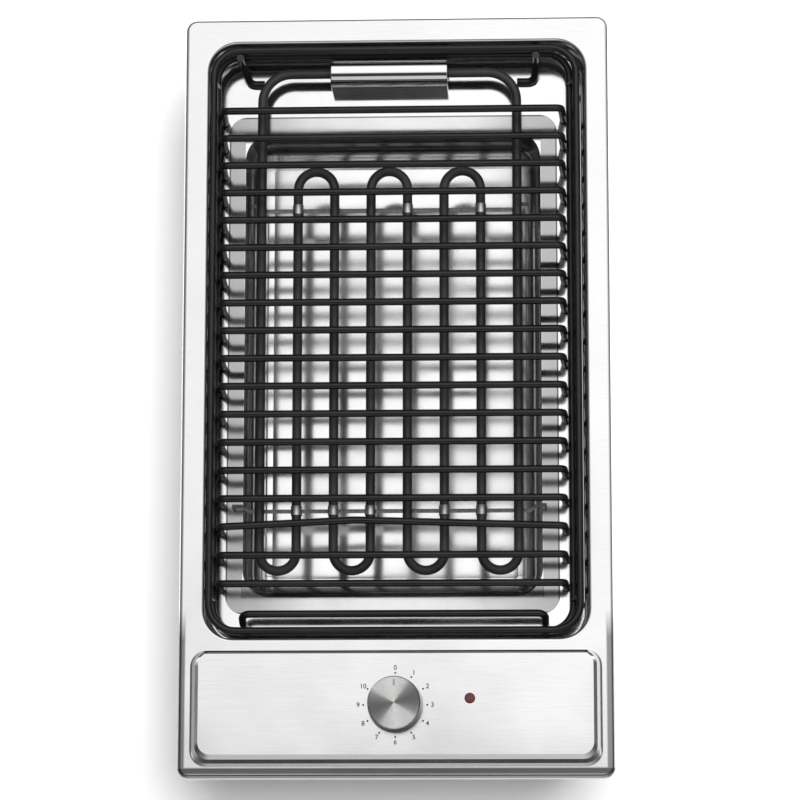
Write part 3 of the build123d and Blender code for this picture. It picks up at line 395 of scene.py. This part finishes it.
def metal(name, dark, light, rough, stretch, fineness, depth, anisotropy=0.0):
    """Metal with a fine grain, and cloudier patches of gloss over it."""
    material, tree, shader = new_material(name)
    shader.inputs["Metallic"].default_value = 1.0
    shader.inputs["Anisotropic"].default_value = anisotropy
    lines = noise(tree, stretch, fineness, METAL_DETAIL, METAL_UNREST)
    clouds = noise(tree, EVEN, METAL_CLOUDS, CLOUD_DETAIL, CLOUD_UNREST)
    colour = mix_colour(tree, spread(tree, lines, 0.0, 1.0), dark, light)
    tree.links.new(colour, shader.inputs["Base Color"])
    tree.links.new(spread(tree, clouds, *rough), shader.inputs["Roughness"])
    bump(tree, shader, lines, METAL_BUMP, depth)
    return material


def plain(name, dark, light, rough, fineness, depth, coat=0.0):
    """Paint or plastic with a small change of colour, uneven gloss and a fine surface."""
    material, tree, shader = new_material(name)
    shader.inputs["Coat Weight"].default_value = coat
    grains = noise(tree, EVEN, fineness, PLAIN_DETAIL, PLAIN_UNREST)
    clouds = noise(tree, EVEN, PLAIN_CLOUDS, CLOUD_DETAIL, CLOUD_UNREST)
    colour = mix_colour(tree, spread(tree, clouds, 0.0, 1.0), dark, light)
    tree.links.new(colour, shader.inputs["Base Color"])
    tree.links.new(spread(tree, clouds, *rough), shader.inputs["Roughness"])
    bump(tree, shader, grains, PLAIN_BUMP, depth)
    return material


def matt(name, grey, rough, shine):
    """An even grey surface."""
    material, _, shader = new_material(name)
    shader.inputs["Base Color"].default_value = (grey, grey, grey, 1)
    shader.inputs["Roughness"].default_value = rough
    shader.inputs["Specular IOR Level"].default_value = shine
    return material


def stain_rim(material):
    """Painted shade and reflection: the tray's flat rim and its front and rear walls are darker than
    its floor, its edge a dark line.
    """
    low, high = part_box("lava_tray")
    tree, shader = shader_of(material)
    place = axes_of(tree, object_place(tree))
    side = inset(tree, place["X"], low.x, high.x)
    ahead = inset(tree, place["Y"], low.y, high.y)
    nearer = maths(tree, "MINIMUM", side, ahead)
    # Painted shade on the tray's front and rear walls
    wall = band(tree, ahead, RIM_WIDTH, RIM_WIDTH + WALL_RUN, RIM_BLEND, WALL_SHADE)
    beside = spread(tree, side, 1.0, 0.0, RIM_WIDTH - RIM_BLEND, RIM_WIDTH)
    scale_colour(tree, shader, maths(tree, "MAXIMUM", wall, beside))
    inward = maths(tree, "DIVIDE", side, (high.x - low.x) / 2)
    # Painted reflection: the rim is brighter toward the tray's middle
    painted_light = ramp_of(tree, maths(tree, "SUBTRACT", 1.0, inward), RIM_PAINTED_LIGHT)
    inside = spread(tree, nearer, 0.0, 1.0, RIM_WIDTH - RIM_BLEND, RIM_WIDTH)
    rim = maths(tree, "MAXIMUM", inside, painted_light)
    # Painted dark line along the tray's outer edge
    edge = spread(tree, nearer, EDGE_SHADE, 1.0, EDGE_START, EDGE_END)
    scale_colour(tree, shader, maths(tree, "MULTIPLY", rim, edge))


def dull_outside(material):
    """The well's sheet is polished on the side that faces inward or up; the other side is rougher and
    darkened with painted shade.
    """
    low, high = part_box("well_liner")
    tree, shader = shader_of(material)
    place = axes_of(tree, object_place(tree))
    surface = tree.nodes.new("ShaderNodeNewGeometry")
    normal = axes_of(tree, surface.outputs["Normal"])
    facing = maths(tree, "MULTIPLY", normal["Z"], -1.0)
    for axis, start, end in (("X", low.x, high.x), ("Y", low.y, high.y)):
        sign = maths(tree, "SIGN", from_middle(tree, place[axis], start, end))
        facing = maths(tree, "ADD", facing, maths(tree, "MULTIPLY", sign, normal[axis]))
    # Painted shade on the side that faces outward or down
    scale_colour(tree, shader, spread(tree, facing, 1.0, OUTSIDE_SHADE, 0.0, OUTSIDE_BLEND))
    rough = shader.inputs["Roughness"].links[0].from_socket
    added = spread(tree, facing, 0.0, OUTSIDE_ROUGH, 0.0, OUTSIDE_BLEND)
    tree.links.new(maths(tree, "ADD", rough, added), shader.inputs["Roughness"])


def shade_flange(material):
    """Painted shade: the plate's flange rolls down in front of the panel and beside it, so it mirrors
    less light.
    """
    low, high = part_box("top_plate")
    tree, shader = shader_of(material)
    place = axes_of(tree, object_place(tree))
    behind = maths(tree, "SUBTRACT", place["Y"], low.y)
    left = maths(tree, "SUBTRACT", place["X"], low.x)
    right = maths(tree, "SUBTRACT", high.x, place["X"])
    shades = []
    # Painted reflection and shade across the flange
    for reach, stops in ((behind, FLANGE_FRONT), (left, FLANGE_LEFT), (right, FLANGE_RIGHT)):
        shades.append(ramp_of(tree, maths(tree, "DIVIDE", reach, FLANGE_SPAN), stops))
    front_shade, left_shade, right_shade = shades
    sides = maths(tree, "MULTIPLY", left_shade, right_shade)
    sides = maths(tree, "MAXIMUM", sides, spread(tree, behind, 0.0, 1.0, FADE_START, FADE_END))
    # Painted shade in the fold behind the panel
    fold = band(tree, behind, FOLD_PLACE - FOLD_HALF, FOLD_PLACE + FOLD_HALF, FOLD_BLEND, FOLD_SHADE)
    nearer = maths(tree, "MINIMUM", left, right)
    margin = spread(tree, nearer, 1.0, 0.0, FOLD_MARGIN - FOLD_BLEND, FOLD_MARGIN)
    fold = maths(tree, "MAXIMUM", fold, margin)
    flange = maths(tree, "MINIMUM", front_shade, sides)
    scale_colour(tree, shader, maths(tree, "MULTIPLY", flange, fold))


def turn_face(material):
    """Fine rings turned into the knob, drawn by a radial tangent, with two bright fans between two
    dull ones painted on as reflection.
    """
    x, y = dial_centre()
    tree, shader = shader_of(material)
    place = axes_of(tree, object_place(tree))
    across = maths(tree, "SUBTRACT", place["X"], x)
    along = maths(tree, "SUBTRACT", place["Y"], y)
    # Painted reflection: bright and dull fans round the knob's axis
    angle = maths(tree, "SUBTRACT", maths(tree, "ARCTAN2", along, across), FAN_TURN)
    wave = maths(tree, "COSINE", maths(tree, "MULTIPLY", angle, FAN_COUNT))
    scale_colour(tree, shader, ramp_of(tree, spread(tree, wave, 0.0, 1.0, -1.0, 1.0), FAN_SHADE))
    # Painted shade in the pointer's groove
    width = band(tree, across, -POINTER_HALF, POINTER_HALF, POINTER_BLEND, POINTER_SHADE)
    length = band(tree, along, POINTER_START, POINTER_END, POINTER_BLEND, POINTER_SHADE)
    scale_colour(tree, shader, maths(tree, "MAXIMUM", width, length))
    tangent = tree.nodes.new("ShaderNodeTangent")
    tangent.direction_type = "RADIAL"
    tangent.axis = "Z"
    tree.links.new(tangent.outputs[0], shader.inputs["Tangent"])


def make_materials():
    """One material for each slot of the record, and one for the clips."""
    made = {}
    for name, values in METALS.items():
        made[name] = metal(name, **values)
    for name, values in PLAINS.items():
        made[name] = plain(name, **values)
    # Painted shade on the plate's flange and in the fold behind the panel
    shade_flange(made["plate_steel"])
    # Painted shade and a rougher finish on the outer side of the well's sheet
    dull_outside(made["well_steel"])
    # Painted shade and reflection on the tray's rim and walls
    stain_rim(made["tray_steel"])
    # Painted reflection and the pointer's painted shade on the knob
    turn_face(made["knob_aluminium"])
    return made


def dress_nodes(materials):
    """Gives each CAD node the material of its slot, and the clips a brighter one."""
    for row in record["subparts"]:
        piece = nodes[row["node"]]
        piece.data.materials.clear()
        piece.data.materials.append(materials[row["material_slot"]])
    nodes["strip_clips"].data.materials[0] = materials["clip_steel"]


def mesh_piece(name, form, material, body):
    """Turns a bmesh into a piece that rides on a body."""
    mesh = bpy.data.meshes.new(name)
    form.to_mesh(mesh)
    form.free()
    piece = bpy.data.objects.new(name, mesh)
    bpy.context.scene.collection.objects.link(piece)
    piece.data.materials.append(material)
    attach(piece, body)


def dial_centre():
    """The axis of the knob, as X and Y."""
    low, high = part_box("knob_cap")
    return (low.x + high.x) / 2, (low.y + high.y) / 2


def panel_level():
    """The top of the raised panel is the highest point of the plate."""
    _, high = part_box("top_plate")
    return high.z


def dial_places(circle):
    """The middle of each dot or number, on a circle round the knob."""
    x, y = dial_centre()
    z = panel_level() + PRINT_THICKNESS / 2
    places = []
    for index in range(DIAL_COUNT):
        angle = index * DIAL_STEP
        places.append((x + circle * math.sin(angle), y + circle * math.cos(angle), z))
    return places


def make_dots(material):
    """Printed dots, one for each step of the knob."""
    form = bmesh.new()
    for place in dial_places(DOT_CIRCLE):
        bmesh.ops.create_cone(
            form, cap_ends=True, segments=DOT_SEGMENTS, radius1=DOT_RADIUS, radius2=DOT_RADIUS,
            depth=PRINT_THICKNESS, matrix=Matrix.Translation(place)
        )
    mesh_piece("dial_dots", form, material, "housing")


def make_digits(material):
    """Printed numbers from 0 up, one outside each dot."""
    for index, place in enumerate(dial_places(DIGIT_CIRCLE)):
        text = bpy.data.curves.new("dial_digit_" + str(index), "FONT")
        text.body = str(index)
        text.size = DIGIT_HEIGHT / DIGIT_SHARE
        text.extrude = PRINT_THICKNESS / 2
        text.offset = DIGIT_BOLD
        text.align_x = "CENTER"
        text.align_y = "CENTER"
        digit = bpy.data.objects.new(text.name, text)
        bpy.context.scene.collection.objects.link(digit)
        digit.location = place
        digit.data.materials.append(material)
        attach(digit, "housing")


def make_floor():
    """A plain pale floor that keeps the object's shadow."""
    low, _ = cad_box
    bpy.ops.mesh.primitive_plane_add(size=FLOOR_SIZE, location=(0, 0, low[2] - FLOOR_GAP))
    floor = bpy.context.object
    floor.name = "floor"
    floor.data.materials.append(matt("floor_paper", FLOOR_GREY, FLOOR_ROUGH, FLOOR_SHINE))


def make_dark_card():
    """The dark place round the camera, which the steel mirrors."""
    bpy.ops.mesh.primitive_plane_add(size=1, location=CARD_PLACE)
    card = bpy.context.object
    card.name = "dark_card"
    card.scale = (CARD_WIDTH, CARD_DEPTH, 1)
    card.data.materials.append(matt("card_black", CARD_GREY, CARD_ROUGH, CARD_SHINE))
    card.visible_camera = False
    card.visible_diffuse = False
    card.visible_shadow = False
    card.visible_transmission = False


def make_world():
    """A sky that is bright from the zenith to the rear, greyer to the front and dark at the sides
    and the rear horizon. The camera itself sees plain white behind the object."""
    world = bpy.data.worlds.new("studio")
    bpy.context.scene.world = world
    world.use_nodes = True
    tree = world.node_tree
    tree.nodes.clear()
    output = tree.nodes.new("ShaderNodeOutputWorld")
    light = tree.nodes.new("ShaderNodeBackground")
    seen = tree.nodes.new("ShaderNodeBackground")
    mixer = tree.nodes.new("ShaderNodeMixShader")
    path = tree.nodes.new("ShaderNodeLightPath")
    direction = tree.nodes.new("ShaderNodeTexCoord")
    ray = axes_of(tree, direction.outputs["Generated"])
    angle = maths(tree, "ARCTAN2", ray["Y"], ray["Z"])
    tilt = ramp_of(tree, spread(tree, angle, 0.0, 1.0, -math.pi / 2, math.pi / 2), SKY_BY_TILT)
    side = ramp_of(tree, spread(tree, ray["X"], 0.0, 1.0, -1.0, 1.0), SKY_BY_SIDE)
    tree.links.new(multiply(tree, tilt, side), light.inputs["Color"])
    light.inputs["Strength"].default_value = SKY_STRENGTH
    seen.inputs["Color"].default_value = (1, 1, 1, 1)
    tree.links.new(path.outputs["Is Camera Ray"], mixer.inputs[0])
    tree.links.new(light.outputs[0], mixer.inputs[1])
    tree.links.new(seen.outputs[0], mixer.inputs[2])
    tree.links.new(mixer.outputs[0], output.inputs["Surface"])


def make_lamp():
    """A large soft lamp that lights the floor and the paint but isn't mirrored in the steel."""
    data = bpy.data.lights.new("lamp_above", "AREA")
    data.shape = "SQUARE"
    data.size = LAMP_SIZE
    data.energy = LAMP_POWER
    lamp = bpy.data.objects.new("lamp_above", data)
    bpy.context.scene.collection.objects.link(lamp)
    lamp.location = LAMP_PLACE
    direction = Vector(LAMP_TARGET) - Vector(LAMP_PLACE)
    lamp.rotation_euler = direction.to_track_quat("-Z", "Y").to_euler()
    lamp.visible_camera = False
    lamp.visible_glossy = False


def make_camera():
    """The photograph's camera."""
    data = bpy.data.cameras.new("camera")
    data.sensor_width = CAMERA_SENSOR
    data.lens = CAMERA_LENS
    camera = bpy.data.objects.new("camera", data)
    bpy.context.scene.collection.objects.link(camera)
    right = Vector(CAMERA_RIGHT)
    up = Vector(CAMERA_UP)
    back = -Vector(CAMERA_FORWARD)
    turn = Matrix((right, up, back)).transposed().to_4x4()
    camera.matrix_world = Matrix.Translation(CAMERA_PLACE) @ turn
    bpy.context.scene.camera = camera


bpy.context.scene.view_settings.view_transform = "Standard"
make_camera()
make_world()
make_lamp()
make_dark_card()
make_floor()
materials = make_materials()
dress_nodes(materials)
make_dots(materials["black_plastic"])
make_digits(materials["black_plastic"])
bpy.context.view_layer.update()
